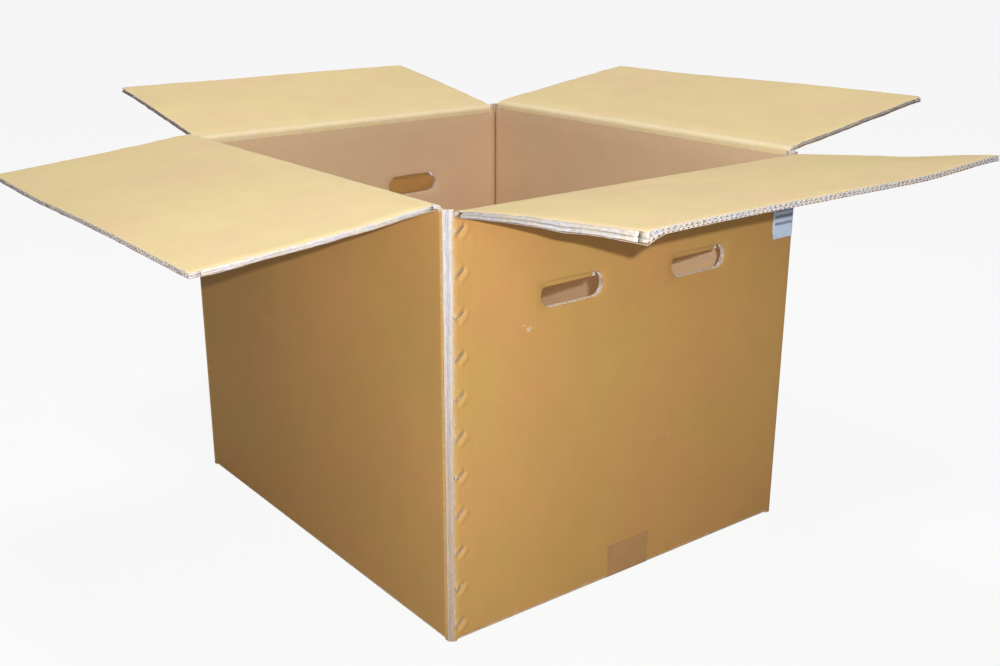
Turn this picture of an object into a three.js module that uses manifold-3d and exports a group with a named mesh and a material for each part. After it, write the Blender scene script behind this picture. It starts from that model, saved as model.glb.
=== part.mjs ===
// A large double wall corrugated box, standing with its four top flaps laid open.
// Millimetres, +Z up. The origin is the middle of the underside, on the bottom seam.
// The front panel faces -Y and the left panel faces -X.

import * as THREE from 'three';
import { ConvexGeometry } from 'three/addons/geometries/ConvexGeometry.js';
import { mergeVertices } from 'three/addons/utils/BufferGeometryUtils.js';
import Module from 'manifold-3d';

const wasm = await Module();
wasm.setup();

// Driving dimensions of the folded blank
const boxWidth = 600;
const boxLength = 680;
const minorScoreHeight = 540;
const boardThickness = 7;
const creaseRadius = 5;
const seamGap = 2;
const slotMargin = 5;

// Clearances between boards, and between a board and what is fixed to it
const boardGap = 0.3;
const slotGap = 1;

// How far each open top flap stands above the horizontal, in degrees
const frontFlapAngle = 5.7;
const backFlapAngle = 9.2;
const leftFlapAngle = -5.4;
const rightFlapAngle = 8.5;

// Hand holes, two in the front panel and two in the back one
const handHoleLength = 100;
const handHoleHeight = 33;
const handHoleSpacing = 220;
const handHoleDrop = 116;

// Stitched joint at the near left corner
const tabWidth = 40;
const tabEndSetback = 14;
const tabEndSlope = 10;
const crushedEdgeTop = 12;
const crushedEdgeBottom = 7.5;
const wireWidth = 2;
const wireThickness = 0.8;
const crownLength = 14;
const clinchLength = 5;
const stitchSlant = 45;
const stitchPitch = 50;
const lowestStitchHeight = 22;
const highestStitchDrop = 18;
const stitchInsetBottom = 16;
const stitchInsetTop = 22;

// Bottom tape and corner label
const tapeWidth = 75;
const tapeRise = 50;
const filmThickness = 0.3;
const labelOnFront = 45;
const labelOnSide = 55;
const labelHeight = 55;
const labelDrop = 55;

// Sizes that follow from the driving ones
const halfWidth = boxWidth / 2;
const halfLength = boxLength / 2;
const flapInset = boardThickness + slotMargin;
const layerRise = boardThickness + boardGap;
const majorScoreHeight = minorScoreHeight + layerRise;
const flapDepth = halfWidth - seamGap / 2;
const tabFace = -halfLength + layerRise;
const minorFlapTop = layerRise + boardThickness;
const filmStandoff = boardGap + filmThickness;
const cutMargin = 1;
const arcSteps = 8;

// The four panels. Each is described in a frame of its own, in which it faces +X.
// The major flaps are folded last, so their score lies one board higher.
const panels = [
  {
    name: 'right',
    turn: 0,
    reach: halfWidth,
    span: boxLength,
    scoreHeight: majorScoreHeight,
    flapAngle: rightFlapAngle,
    major: true,
  },
  {
    name: 'back',
    turn: Math.PI / 2,
    reach: halfLength,
    span: boxWidth,
    scoreHeight: minorScoreHeight,
    flapAngle: backFlapAngle,
    major: false,
  },
  {
    name: 'left',
    turn: Math.PI,
    reach: halfWidth,
    span: boxLength,
    scoreHeight: majorScoreHeight,
    flapAngle: leftFlapAngle,
    major: true,
  },
  {
    name: 'front',
    turn: -Math.PI / 2,
    reach: halfLength,
    span: boxWidth,
    scoreHeight: minorScoreHeight,
    flapAngle: frontFlapAngle,
    major: false,
  },
];

const kraftOutside = new THREE.MeshStandardMaterial({ color: 0xb98d4e, roughness: 0.8, metalness: 0 });
const kraftInside = new THREE.MeshStandardMaterial({ color: 0xe6d39a, roughness: 0.85, metalness: 0 });
const stitchWire = new THREE.MeshStandardMaterial({ color: 0xa9a49a, roughness: 0.35, metalness: 1 });
const tapeFilm = new THREE.MeshStandardMaterial({ color: 0xa07840, roughness: 0.3, metalness: 0 });
const labelPaper = new THREE.MeshStandardMaterial({ color: 0xe4eaf6, roughness: 0.6, metalness: 0 });

// A closed outline through a few corner points
function polygon(points) {
  return new THREE.Shape(points.map(([x, y]) => new THREE.Vector2(x, y)));
}

function extrude(shape, length) {
  return new THREE.ExtrudeGeometry(shape, {
    depth: length,
    bevelEnabled: false,
    curveSegments: arcSteps,
  });
}

// An outline in the XY plane, raised from one height to another
function extrudeUp(shape, bottom, top) {
  return extrude(shape, top - bottom).translate(0, 0, bottom);
}

// An outline in the XZ plane, drawn out along Y and centred on it
function extrudeAcross(shape, length) {
  return extrude(shape, length).rotateX(Math.PI / 2).translate(0, length / 2, 0);
}

// Booleans work on solids, and a mesh is made from the last one
function toSolid(geometry) {
  const bare = geometry.clone();
  bare.deleteAttribute('normal');
  bare.deleteAttribute('uv');
  const merged = mergeVertices(bare);
  return new wasm.Manifold(
    new wasm.Mesh({
      numProp: 3,
      vertProperties: new Float32Array(merged.attributes.position.array),
      triVerts: new Uint32Array(merged.index.array),
    }),
  );
}

function toGeometry(solid) {
  const mesh = solid.getMesh();
  const geometry = new THREE.BufferGeometry();
  geometry.setAttribute('position', new THREE.BufferAttribute(mesh.vertProperties, 3));
  geometry.setIndex(new THREE.BufferAttribute(mesh.triVerts, 1));
  return geometry.toNonIndexed();
}

function namedMesh(name, geometry, material) {
  geometry.computeVertexNormals();
  const mesh = new THREE.Mesh(geometry, material);
  mesh.name = name;
  return mesh;
}

// Plan of the four walls and the joint tab, one strip of board with three rounded
// creases. The left wall folds round behind the front panel's free end.
function wallPlan() {
  const r = creaseRadius;
  const t = boardThickness;
  const plan = new THREE.Shape();
  plan.moveTo(-halfWidth, -halfLength);
  plan.lineTo(halfWidth - r, -halfLength);
  plan.absarc(halfWidth - r, -halfLength + r, r, -Math.PI / 2, 0, false);
  plan.lineTo(halfWidth, halfLength - r);
  plan.absarc(halfWidth - r, halfLength - r, r, 0, Math.PI / 2, false);
  plan.lineTo(-halfWidth + r, halfLength);
  plan.absarc(-halfWidth + r, halfLength - r, r, Math.PI / 2, Math.PI, false);
  plan.lineTo(-halfWidth, tabFace + r);
  plan.absarc(-halfWidth + r, tabFace + r, r, Math.PI, 1.5 * Math.PI, false);
  plan.lineTo(-halfWidth + tabWidth, tabFace);
  plan.lineTo(-halfWidth + tabWidth, tabFace + t);
  plan.lineTo(-halfWidth + t, tabFace + t);
  plan.lineTo(-halfWidth + t, halfLength - t);
  plan.lineTo(halfWidth - t, halfLength - t);
  plan.lineTo(halfWidth - t, -halfLength + t);
  plan.lineTo(-halfWidth, -halfLength + t);
  return plan;
}

// The tab is shorter than the wall and its ends are cut at a slope
function tabEndCutters() {
  const inner = -halfWidth + boardThickness;
  const outer = -halfWidth + tabWidth + cutMargin;
  const low = minorFlapTop + boardGap;
  const high = minorScoreHeight - layerRise;
  const nearSetback = tabEndSetback;
  const farSetback = tabEndSetback + tabEndSlope;
  const outlines = [
    [
      [inner, -cutMargin],
      [outer, -cutMargin],
      [outer, low + farSetback],
      [inner, low + nearSetback],
    ],
    [
      [inner, high - nearSetback],
      [outer, high - farSetback],
      [outer, majorScoreHeight + cutMargin],
      [inner, majorScoreHeight + cutMargin],
    ],
  ];
  const depth = boardThickness + 2 * boardGap;
  const middle = tabFace + boardThickness / 2 + boardGap / 2;
  return outlines.map((points) => extrudeAcross(polygon(points), depth).translate(0, middle, 0));
}

// The front panel's free end is crushed to a slope, wider at the top
function crushedEdgeCutter() {
  const levels = [
    { height: -cutMargin, width: crushedEdgeBottom },
    { height: majorScoreHeight + cutMargin, width: crushedEdgeTop },
  ];
  const points = [];
  for (const { height, width } of levels) {
    const over = cutMargin / boardThickness;
    const ends = [
      [-halfWidth - width * over, -halfLength + boardThickness * (1 + over)],
      [-halfWidth + width * (1 + over), -halfLength - boardThickness * over],
      [-halfWidth - width, -halfLength - boardThickness],
    ];
    for (const [x, y] of ends) {
      points.push(new THREE.Vector3(x, y, height));
    }
  }
  return new ConvexGeometry(points);
}

// Bottom flap with the fold that joins it to its wall. The major pair lies on the
// floor. The minor pair lies on it, and its fold hangs down beside the major flaps.
function bottomFlap(panel) {
  const { reach, span, major } = panel;
  const tip = reach - flapDepth;
  const heel = reach - flapInset + boardGap;
  const outline = major
    ? [
        [tip, 0],
        [reach, 0],
        [reach, boardThickness],
        [tip, boardThickness],
      ]
    : [
        [heel, 0],
        [reach, 0],
        [reach, minorFlapTop],
        [tip, minorFlapTop],
        [tip, layerRise],
        [heel, layerRise],
      ];
  return extrudeAcross(polygon(outline), span - 2 * flapInset);
}

// What a rounded crease leaves outside it, along the foot of a wall
function bottomCreaseCutter({ reach, span }) {
  const r = creaseRadius;
  const shape = new THREE.Shape();
  shape.moveTo(reach - r, -cutMargin);
  shape.lineTo(reach + cutMargin, -cutMargin);
  shape.lineTo(reach + cutMargin, r);
  shape.lineTo(reach, r);
  shape.absarc(reach - r, r, r, 0, -Math.PI / 2, true);
  return extrudeAcross(shape, span - 2 * flapInset);
}

// The wall's top edge is mitred from the score down to its inner face. The slots
// beside the flap end at the taller score, so a corner post is left between them.
function scoreCutter({ reach, span, scoreHeight }) {
  const edge = scoreHeight - boardGap;
  const inner = boardThickness + cutMargin;
  const top = majorScoreHeight + cutMargin;
  const outline = [
    [reach - inner, edge - inner],
    [reach + cutMargin, edge + cutMargin],
    [reach + cutMargin, top + cutMargin],
    [reach - inner, top + cutMargin],
  ];
  return extrudeAcross(polygon(outline), span - 2 * flapInset + 2 * slotGap);
}

// A slot with round ends, cut through the panel
function handHoleCutter({ reach }, side) {
  const r = handHoleHeight / 2;
  const half = handHoleLength / 2 - r;
  const shape = new THREE.Shape();
  shape.moveTo(-half, -r);
  shape.lineTo(half, -r);
  shape.absarc(half, 0, r, -Math.PI / 2, Math.PI / 2, false);
  shape.lineTo(-half, r);
  shape.absarc(-half, 0, r, Math.PI / 2, 1.5 * Math.PI, false);
  const depth = boardThickness + 2 * cutMargin;
  const height = minorScoreHeight - handHoleDrop;
  return extrude(shape, depth)
    .rotateX(Math.PI / 2)
    .rotateZ(Math.PI / 2)
    .translate(reach - boardThickness - cutMargin, (side * handHoleSpacing) / 2, height);
}

// Side view of the bottom tape, a band that turns up at both ends. The same line is
// drawn at a depth under the tape's outer face, so the recess follows the tape.
function tapeLine(shape, depth, reverse) {
  const r = creaseRadius + filmStandoff - depth;
  const middleY = halfLength - creaseRadius;
  const middleZ = creaseRadius + filmStandoff;
  if (reverse) {
    shape.absarc(middleY, middleZ, r, 0, -Math.PI / 2, true);
    shape.absarc(-middleY, middleZ, r, -Math.PI / 2, -Math.PI, true);
  } else {
    shape.absarc(-middleY, middleZ, r, Math.PI, 1.5 * Math.PI, false);
    shape.absarc(middleY, middleZ, r, -Math.PI / 2, 0, false);
  }
}

// An outline in the YZ plane, drawn out along X and centred on it
function extrudeSideways(shape, width) {
  return extrudeAcross(shape, width).rotateZ(Math.PI / 2);
}

function tapeBand() {
  const face = halfLength + filmStandoff;
  const back = face - filmThickness;
  const shape = new THREE.Shape();
  shape.moveTo(-face, tapeRise);
  tapeLine(shape, 0, false);
  shape.lineTo(face, tapeRise);
  shape.lineTo(back, tapeRise);
  tapeLine(shape, filmThickness, true);
  shape.lineTo(-back, tapeRise);
  return extrudeSideways(shape, tapeWidth);
}

function tapeRecessCutter() {
  const outside = halfLength + cutMargin;
  const top = creaseRadius + filmStandoff;
  const shape = new THREE.Shape();
  shape.moveTo(-outside, -cutMargin);
  shape.lineTo(outside, -cutMargin);
  shape.lineTo(outside, top);
  tapeLine(shape, filmStandoff, true);
  shape.lineTo(-outside, top);
  return extrudeSideways(shape, tapeWidth + 2 * boardGap);
}

// Places of the wire stitches up the joint, on the front panel's face
function stitchPlaces() {
  const highest = minorScoreHeight - highestStitchDrop;
  const count = Math.floor((highest - lowestStitchHeight) / stitchPitch) + 1;
  const places = [];
  for (let i = 0; i < count; i += 1) {
    const height = lowestStitchHeight + i * stitchPitch;
    const share = (height - lowestStitchHeight) / (highest - lowestStitchHeight);
    const inset = THREE.MathUtils.lerp(stitchInsetBottom, stitchInsetTop, share);
    places.push({ x: -halfWidth + inset, height });
  }
  return places;
}

function placeStitch(geometry, { x, height }) {
  return geometry
    .rotateY(-THREE.MathUtils.degToRad(stitchSlant))
    .translate(x, -halfLength, height);
}

// One staple of flat wire: crown outside, legs through panel and tab, ends clinched
function stitchWireShape() {
  const half = crownLength / 2;
  const near = -boardGap;
  const far = layerRise + boardThickness + boardGap;
  const w = wireThickness;
  const outline = polygon([
    [-half, near - w],
    [half, near - w],
    [half, far + w],
    [half - clinchLength, far + w],
    [half - clinchLength, far],
    [half - w, far],
    [half - w, near],
    [-half + w, near],
    [-half + w, far],
    [-half + clinchLength, far],
    [-half + clinchLength, far + w],
    [-half, far + w],
  ]);
  return extrudeUp(outline, -wireWidth / 2, wireWidth / 2);
}

function stitchHoleCutters(place) {
  const depth = 2 * boardThickness + boardGap + 2 * cutMargin;
  const leg = crownLength / 2 - wireThickness / 2;
  return [-leg, leg].map((x) => {
    const hole = new THREE.BoxGeometry(wireThickness + 2 * boardGap, depth, wireWidth + 2 * boardGap);
    hole.translate(x, depth / 2 - cutMargin, 0);
    return placeStitch(hole, place);
  });
}

// The whole sheet but its top flaps: walls, joint tab and four bottom flaps
function boxBody() {
  let body = toSolid(extrudeUp(wallPlan(), 0, majorScoreHeight));
  const cutters = [...tabEndCutters(), crushedEdgeCutter()];
  for (const panel of panels) {
    body = body.add(toSolid(bottomFlap(panel).rotateZ(panel.turn)));
    cutters.push(bottomCreaseCutter(panel).rotateZ(panel.turn));
    cutters.push(scoreCutter(panel).rotateZ(panel.turn));
    if (!panel.major) {
      for (const side of [-1, 1]) {
        cutters.push(handHoleCutter(panel, side).rotateZ(panel.turn));
      }
    }
  }
  cutters.push(tapeRecessCutter());
  for (const place of stitchPlaces()) {
    cutters.push(...stitchHoleCutters(place));
  }
  for (const cutter of cutters) {
    body = body.subtract(toSolid(cutter));
  }
  return toGeometry(body);
}

// A top flap turns about the score on its wall's outer face. Its root is mitred like
// the wall's edge, so the two meet when it is shut and open into a vee when it is not.
function topFlap(panel) {
  const outline = [
    [boardGap, 0],
    [flapDepth, 0],
    [flapDepth, boardThickness],
    [boardGap + boardThickness, boardThickness],
  ];
  const geometry = extrudeAcross(polygon(outline), panel.span - 2 * flapInset);
  const hinge = new THREE.Group();
  hinge.position.set(panel.reach, 0, panel.scoreHeight);
  hinge.rotation.y = -THREE.MathUtils.degToRad(panel.flapAngle);
  hinge.add(namedMesh(`top_flap_${panel.name}`, geometry, kraftInside));
  const side = new THREE.Group();
  side.rotation.z = panel.turn;
  side.add(hinge);
  return side;
}

// A paper label that wraps the right front corner
function cornerLabel() {
  const near = creaseRadius + boardGap;
  const far = creaseRadius + filmStandoff;
  const middleX = halfWidth - creaseRadius;
  const middleY = -halfLength + creaseRadius;
  const frontEnd = halfWidth - labelOnFront;
  const sideEnd = -halfLength + labelOnSide;
  const shape = new THREE.Shape();
  shape.moveTo(frontEnd, middleY - far);
  shape.absarc(middleX, middleY, far, -Math.PI / 2, 0, false);
  shape.lineTo(middleX + far, sideEnd);
  shape.lineTo(middleX + near, sideEnd);
  shape.absarc(middleX, middleY, near, 0, -Math.PI / 2, true);
  shape.lineTo(frontEnd, middleY - near);
  const top = minorScoreHeight - labelDrop;
  return extrudeUp(shape, top - labelHeight, top);
}

const box = new THREE.Group();
box.add(namedMesh('box_body', boxBody(), kraftOutside));
for (const panel of panels) {
  box.add(topFlap(panel));
}
stitchPlaces().forEach((place, i) => {
  const name = `stitch_${String(i + 1).padStart(2, '0')}`;
  box.add(namedMesh(name, placeStitch(stitchWireShape(), place), stitchWire));
});
box.add(namedMesh('bottom_tape', tapeBand(), tapeFilm));
box.add(namedMesh('corner_label', cornerLabel(), labelPaper));

export default box;
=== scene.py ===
import math

import bmesh
import bpy
from mathutils import Matrix, Vector, noise


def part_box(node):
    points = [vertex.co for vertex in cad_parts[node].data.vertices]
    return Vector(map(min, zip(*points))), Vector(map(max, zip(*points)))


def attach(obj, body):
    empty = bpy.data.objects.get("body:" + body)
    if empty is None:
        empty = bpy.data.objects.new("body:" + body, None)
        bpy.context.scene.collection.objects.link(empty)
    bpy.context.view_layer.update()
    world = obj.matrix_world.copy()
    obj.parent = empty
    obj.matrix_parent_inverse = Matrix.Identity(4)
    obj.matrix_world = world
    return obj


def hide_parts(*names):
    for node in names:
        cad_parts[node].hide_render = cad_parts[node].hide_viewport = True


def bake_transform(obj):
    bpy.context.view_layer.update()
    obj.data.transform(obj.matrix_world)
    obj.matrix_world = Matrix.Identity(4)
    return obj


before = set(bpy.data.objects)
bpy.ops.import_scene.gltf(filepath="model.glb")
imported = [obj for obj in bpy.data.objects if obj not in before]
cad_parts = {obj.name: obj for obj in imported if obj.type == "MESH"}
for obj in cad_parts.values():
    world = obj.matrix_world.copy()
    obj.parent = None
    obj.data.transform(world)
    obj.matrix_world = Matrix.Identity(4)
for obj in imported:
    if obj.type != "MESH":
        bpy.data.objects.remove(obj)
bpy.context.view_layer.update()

bl_info = {
    "name": "Double wall corrugated box",
    "version": (1, 0, 0),
    "blender": (4, 5, 0),
    "location": "View3D > Sidebar > Box",
    "description": "A large open box of double wall board with its plies, joint, tape and label",
    "category": "Add Mesh",
}

BODY_LOW, BODY_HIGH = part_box("box_body")
STITCHES = sorted(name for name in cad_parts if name.startswith("stitch_"))

FULL_HEIGHT = 0.54  # of the pattern on the torn edge
ROUGH = 0.0006  # usual unevenness of a cut edge
WALL_BOW = 0.0022
CORNER_PRESS = 0.0024  # how far the inside of a corner is pressed outwards
ARC_STEP = 15  # degrees of a fold from one column to the next
SHEET_STEP = 0.0125  # between two columns or rows of a plain sheet
RIM_STEPS = (0.0006, 0.004)
FOLD_STEPS = (0.0006, 0.003)
WALL_ENDS = (0.0008, 0.004, 0.010)  # shares of a wall's height

AIM = (0.0, -0.1, 0.30)
LAMPS = (  # name, place, what it points at, width, power
    ("key", (-0.92, -1.56, 1.02), AIM, 0.6, 5.5),
    ("near_key", (-0.992, -1.402, 0.868), AIM, 0.016, 18),
    ("overhead", (0.05, 0.35, 3.2), (0.0, 0.1, 0.3), 1.0, 56),
)
ROOM_LIGHT = 0.10
FLOOR_TONE = 0.62
FLOOR_WHITE = 0.91  # share of plain white that the camera sees in the floor
CAMERA_PLACE = (-1.0403, -1.3814, 0.8282)
CAMERA_TURN = (35.69, 18.28, -0.67)  # degrees: yaw from +Y, pitch down, roll
FOCAL_LENGTH = 1.1869  # in picture widths
CAMERA_SHIFT = 0.048


def length(label, text, default):
    return bpy.props.FloatProperty(
        name=label, description=text, default=default, unit="LENGTH", precision=5
    )


def colour(label, text, default):
    return bpy.props.FloatVectorProperty(
        name=label, description=text, default=default, size=3, subtype="COLOR", min=0, max=1
    )


def angle(label, text, degrees):
    return bpy.props.FloatProperty(
        name=label, description=text, default=math.radians(degrees), subtype="ANGLE"
    )


class BoxSizes(bpy.types.PropertyGroup):
    """The folded blank"""

    width: length("Width", "Outside, along the front panel", BODY_HIGH.x - BODY_LOW.x)
    length: length("Length", "Outside, along the side panels", BODY_HIGH.y - BODY_LOW.y)
    score: length("Score height", "Fold of the front and back top flaps", 0.54)
    board: length("Board", "Thickness of the double wall board", 0.007)
    gap: length("Gap", "Clearance between two boards", 0.0003)
    crease: length("Crease radius", "Outside of a fold", 0.005)
    inset: length("Slot inset", "From a corner to the flap beside it", 0.012)
    slot: length("Slot gap", "Between a flap's edge and the wall's post", 0.001)
    flap: length("Flap depth", "From the fold to the flap's outer edge", 0.299)
    front_angle: angle("Front flap", "Its angle above the horizontal", 5.7)
    back_angle: angle("Back flap", "Its angle above the horizontal", 9.2)
    left_angle: angle("Left flap", "Its angle above the horizontal", -5.4)
    right_angle: angle("Right flap", "Its angle above the horizontal", 8.5)


class BoardSizes(bpy.types.PropertyGroup):
    """The plies of the board"""

    paper: length("Paper", "Thickness of a liner or flute paper", 0.0004)
    outer_pitch: length("Outer flute pitch", "One wave of the flute next to the outside", 0.0065)
    inner_pitch: length("Inner flute pitch", "One wave of the flute next to the inside", 0.0078)
    middle: length("Middle liner", "Its depth under the outside", 0.0031)
    hole_length: length("Hand hole length", "Between its round ends, outside", 0.1)
    hole_height: length("Hand hole height", "Across the hole", 0.033)
    hole_spacing: length("Hand hole spacing", "Between the middles of a pair", 0.22)
    hole_drop: length("Hand hole drop", "From the fold down to the middle", 0.116)


class JointSizes(bpy.types.PropertyGroup):
    """The stitched joint at the near left corner"""

    tab: length("Tab", "Width of the tab inside the front panel", 0.04)
    setback: length("Tab setback", "From the fold to the tab's end", 0.014)
    slope: length("Tab slope", "How much more at the tab's edge", 0.01)
    edge_top: length("Torn edge, top", "Width of the crushed edge", 0.012)
    edge_bottom: length("Torn edge, bottom", "Width of the crushed edge", 0.0075)
    wire: length("Wire width", "Flat stitching wire", 0.002)
    gauge: length("Wire gauge", "Thickness of the wire", 0.0008)
    crown: length("Crown", "Length of a stitch outside", 0.014)
    clinch: length("Clinch", "How far each end is bent in behind the tab", 0.0045)
    slant: angle("Slant", "A stitch above the horizontal", 45)
    first: length("First stitch", "Its height", 0.022)
    pitch: length("Pitch", "Between two stitches", 0.05)
    inset_low: length("Inset, bottom", "From the corner to the first stitch", 0.016)
    inset_high: length("Inset, top", "From the corner to the last stitch", 0.022)
    sink: length("Sink", "How deep a stitch pulls into the board", 0.0023)


class TrimSizes(bpy.types.PropertyGroup):
    """Tape and label"""

    tape: length("Tape width", "Bottom tape", 0.075)
    rise: length("Tape rise", "How far it turns up the panels", 0.05)
    film: length("Film", "Thickness of the tape", 0.00012)
    label_front: length("Label, front", "Its part on the front panel", 0.045)
    label_side: length("Label, side", "Its part on the right panel", 0.055)
    label_height: length("Label height", "Top to bottom", 0.055)
    label_drop: length("Label drop", "From the fold down to the label", 0.055)


class BoxColours(bpy.types.PropertyGroup):
    """Colours of paper, wire and film"""

    outside: colour("Outside", "Brown outer liner", (0.494, 0.293, 0.084))
    inside: colour("Inside", "Straw inner liner", (0.800, 0.642, 0.325))
    # The flaps' straw paper painted darker and redder, as painted shade for the inside of the box
    walls_inside_painted_shade: colour("Inside walls", "Inner liner of the walls", (0.695, 0.512, 0.312))
    pulp: colour("Pulp", "Grey white paper between the liners", (0.70, 0.66, 0.63))
    wire: colour("Wire", "Stitching wire", (0.60, 0.57, 0.52))
    tape: colour("Tape", "Brown film", (0.415, 0.228, 0.088))
    label: colour("Label", "Label paper", (0.62, 0.76, 0.96))


class Value:
    """A node's output that takes part in sums like a number"""

    def __init__(self, tree, socket):
        self.tree = tree
        self.socket = socket

    def math(self, operation, *others, clamp=False):
        inputs = dict(enumerate((self, *others)))
        return self.tree.add(
            "ShaderNodeMath", {"operation": operation, "use_clamp": clamp}, inputs
        )

    def __add__(self, other):
        return self.math("ADD", other)

    def __radd__(self, other):
        return self.math("ADD", other)

    def __sub__(self, other):
        return self.math("SUBTRACT", other)

    def __rsub__(self, other):
        return -self + other

    def __mul__(self, other):
        return self.math("MULTIPLY", other)

    def __rmul__(self, other):
        return self.math("MULTIPLY", other)

    def __truediv__(self, other):
        return self.math("DIVIDE", other)

    def __neg__(self):
        return self.math("MULTIPLY", -1.0)

    def sine(self):
        return self.math("SINE")

    def absolute(self):
        return self.math("ABSOLUTE")

    def rise(self, low, high):
        """0 below low, 1 above high and smooth between them; falls if low is the higher one"""
        settings = {"interpolation_type": "SMOOTHSTEP", "clamp": True}
        inputs = {"Value": self, "From Min": low, "From Max": high}
        return self.tree.add("ShaderNodeMapRange", settings, inputs)


class Finish:
    """A material, its nodes written as expressions"""

    def __init__(self, name):
        self.material = bpy.data.materials.new(name)
        self.material.use_nodes = True
        self.nodes = self.material.node_tree.nodes
        self.links = self.material.node_tree.links
        self.nodes.clear()
        self.place = self.add("ShaderNodeTexCoord", output="Object")

    def add(self, kind, settings=None, inputs=None, output=0):
        node = self.nodes.new(kind)
        for key, value in (settings or {}).items():
            if key == "stops":
                self.stops(node.color_ramp, value)
            else:
                setattr(node, key, value)
        for key, value in (inputs or {}).items():
            if isinstance(value, Value):
                self.links.new(value.socket, node.inputs[key])
            else:
                node.inputs[key].default_value = value
        return Value(self, node.outputs[output]) if node.outputs else None

    def stops(self, ramp, stops):
        while len(ramp.elements) < len(stops):
            ramp.elements.new(0.5)
        for element, (position, tone) in zip(ramp.elements, stops):
            element.position = position
            element.color = (*tone, 1)

    def noise(self, vector, scale, detail=2.0, roughness=0.5):
        """Between -1 and 1, mostly within 0.5"""
        inputs = {"Vector": vector, "Scale": scale, "Detail": detail, "Roughness": roughness}
        return self.add("ShaderNodeTexNoise", None, inputs) * 2 - 1

    def vector(self, x, y, z):
        return self.add("ShaderNodeCombineXYZ", None, {0: x, 1: y, 2: z})

    def split(self, vector):
        node = self.add("ShaderNodeSeparateXYZ", None, {0: vector}).socket.node
        return [Value(self, socket) for socket in node.outputs]

    def mix(self, factor, first, second, blend="MIX"):
        settings = {"data_type": "RGBA", "blend_type": blend}
        if not isinstance(first, Value):
            first = (*first, 1)
        if not isinstance(second, Value):
            second = (*second, 1)
        return self.add("ShaderNodeMix", settings, {0: factor, 6: first, 7: second}, output=2)

    def shade(self, tone, value):
        """A colour made lighter or darker by a value near 1"""
        return self.add("ShaderNodeVectorMath", {"operation": "SCALE"}, {0: tone, "Scale": value})

    def board(self):
        """Distance across the flutes, along them, and wear, as the pieces hold them"""
        attribute = self.add("ShaderNodeAttribute", {"attribute_name": "board"}, output="Vector")
        return self.split(attribute)

    def near(self, centre, size, turn=0.0):
        """1 at a spot and 0 outside an oval about it"""
        settings = {"vector_type": "TEXTURE"}
        inputs = {
            "Vector": self.place,
            "Location": centre,
            "Rotation": (0, 0, turn),
            "Scale": size,
        }
        local = self.add("ShaderNodeMapping", settings, inputs)
        reach = self.add("ShaderNodeVectorMath", {"operation": "LENGTH"}, {0: local}, "Value")
        return reach.rise(1.0, 0.2)

    def bump(self, height, strength, distance):
        inputs = {"Height": height, "Strength": strength, "Distance": distance}
        return self.add("ShaderNodeBump", None, inputs)

    def finish(self, **sockets):
        """The shader, which ends the material"""
        inputs = {key.replace("_", " "): value for key, value in sockets.items()}
        shader = self.add("ShaderNodeBsdfPrincipled", None, inputs)
        self.add("ShaderNodeOutputMaterial", None, {"Surface": shader})
        return self.material


def liner_finish(name, base, warm, marks, sizes):
    """Liner paper: clouds of tone, fibres, faint flutes, flecks, and pale rubbed folds"""
    f = Finish(name)
    across, along, wear = f.board()
    clouds = f.noise(f.place, 3.2, 2.0)
    blotches = f.noise(f.place, 24.0, 3.0)
    fibres = f.noise(f.vector(across * 90, along * 620, 0.0), 1.0, 4.0, 0.65)
    flutes = (across * (math.tau / sizes.outer_pitch)).sine()
    tone = 1 + clouds * 0.07 + blotches * 0.05 + fibres * 0.09 + flutes * 0.007
    hue = f.noise(f.place, 7.0, 2.0).rise(-0.5, 0.6)
    colour_mix = f.shade(f.mix(hue, base, warm), tone)
    flecks = f.noise(f.vector(across * 260, along * 520, 3.0), 1.0, 1.0).rise(0.52, 0.72)
    colour_mix = f.mix(flecks * 0.22, colour_mix, [0.45 * c for c in base])
    rub = f.noise(f.place, 130.0, 3.0, 0.7) * 0.9 + wear * 1.25
    pale = [min(1.0, 0.55 * c + 0.36) for c in base]
    rubbed = rub.rise(0.55, 1.25)
    colour_mix = f.mix(rubbed * 0.6, colour_mix, pale)
    for centre, size, turn, strength in marks:
        streaks = f.noise(f.place, 160.0, 2.0, 0.6).rise(-0.1, 0.35)
        colour_mix = f.mix(f.near(centre, size, turn) * streaks * strength, colour_mix, pale)
    height = fibres * 0.35 + flutes * 0.07 + blotches * 0.5 + rubbed * 0.6
    return f.finish(
        Base_Color=colour_mix,
        Roughness=0.66 + blotches * 0.08 + rubbed * 0.15,
        Normal=f.bump(height, 0.5, 0.0004),
        Specular_IOR_Level=0.35,
    )


def pulp_finish(name, base):
    """Cut and torn plies: grey white, in streaks along the cut"""
    f = Finish(name)
    across, along, _ = f.board()
    streaks = f.noise(f.vector(across * 1100, along * 120, 0.0), 1.0, 3.0, 0.6)
    fluff = f.noise(f.place, 420.0, 3.0, 0.7)
    cool = (0.68, 0.68, 0.76)
    warm = (0.80, 0.70, 0.55)
    tint = f.mix(f.noise(f.place, 55.0, 2.0).rise(-0.45, 0.5), cool, warm)
    body = f.shade(f.mix(0.55, base, tint), 0.93 + streaks * 0.45 + fluff * 0.25)
    return f.finish(
        Base_Color=body,
        Roughness=0.9 + fluff * 0.08,
        Normal=f.bump(streaks * 0.5 + fluff * 0.8, 0.7, 0.0006),
        Specular_IOR_Level=0.2,
    )


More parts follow.
